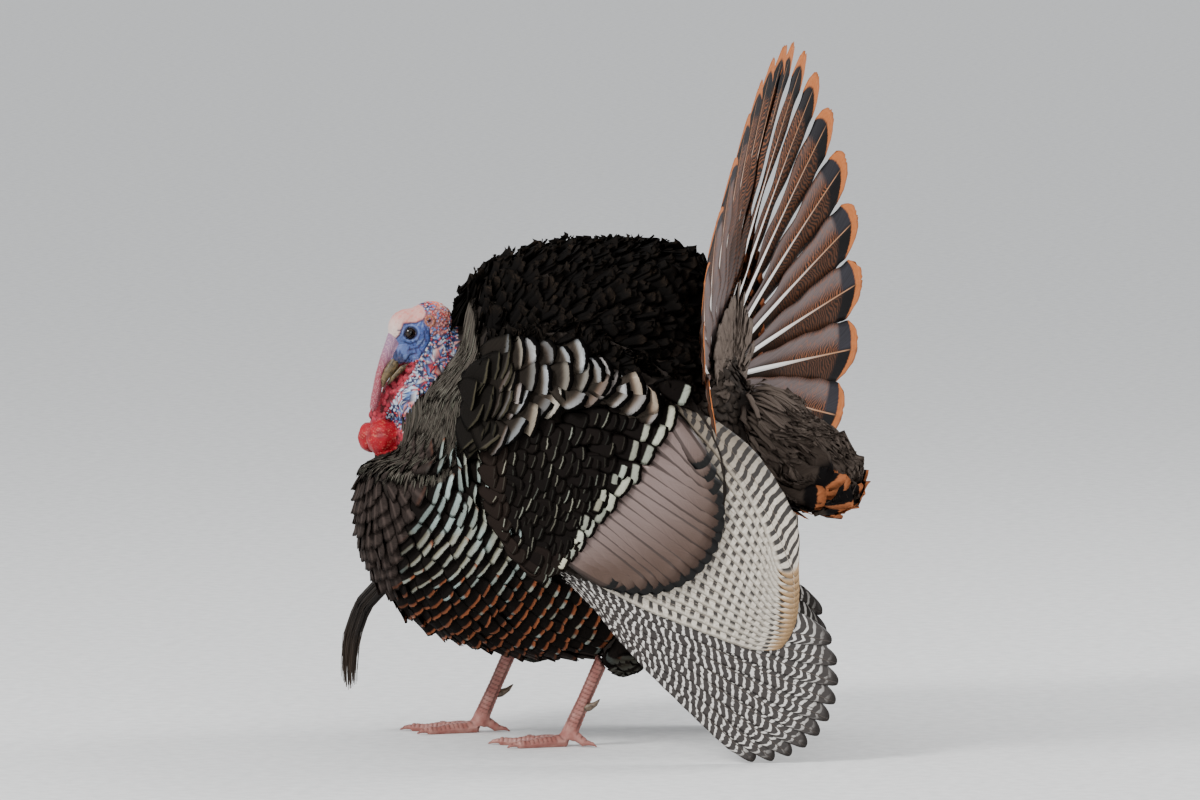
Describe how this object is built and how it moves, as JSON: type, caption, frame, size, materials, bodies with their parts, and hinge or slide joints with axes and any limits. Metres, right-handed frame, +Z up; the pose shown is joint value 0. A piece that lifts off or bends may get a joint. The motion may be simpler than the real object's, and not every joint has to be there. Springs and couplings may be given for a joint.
{
  "type": "wild turkey gobbler, strutting",
  "caption": "Life-size still model of a strutting wild turkey: puffed barrel body, fanned tail, drooped wings, bare wattled head, beard and spurred legs.",
  "frame": {"origin": "on the ground, at the middle of the base of the model's bounding box", "axes": "the bird looks towards -X, its left side is -Y, and +Z is up, the model's longest extent"},
  "size_m": [0.6132, 0.7722, 0.8077],
  "materials": {
    "skin": "bare warty skin",
    "head_skin": "bare blue and white skin",
    "wattle": "smooth swollen red skin",
    "eye": "wet dark brown",
    "horn": "horn",
    "leg_scale": "scaled dusky red",
    "body_feather": "black feathers with bronze and pale bands",
    "bristle": "coarse black bristles",
    "wing_covert": "bronze feathers tipped with black",
    "flight_feather": "blackish feathers barred with white",
    "tail_feather": "barred feathers with a chestnut tip",
    "tail_covert": "dark bronze feathers tipped with chestnut"
  },
  "bodies": {
    "root": {"trunk": "body_feather", "neck": "skin", "head": "head_skin", "eye_left": "eye", "eye_right": "eye", "bill_upper": "horn", "bill_lower": "horn", "snood": "wattle", "wattle_left": "wattle", "wattle_right": "wattle", "wattle_upper": "wattle", "beard": "bristle", "tail_fan": "tail_feather", "tail_coverts": "tail_covert", "undertail_coverts": "body_feather", "wing_left_arm": "wing_covert", "wing_right_arm": "wing_covert", "wing_left_primaries": "flight_feather", "wing_right_primaries": "flight_feather", "wing_left_secondaries": "flight_feather", "wing_right_secondaries": "flight_feather", "thigh_left": "body_feather", "thigh_right": "body_feather", "shank_left": "leg_scale", "shank_right": "leg_scale", "spur_left": "horn", "spur_right": "horn"}
  },
  "joints": []
}
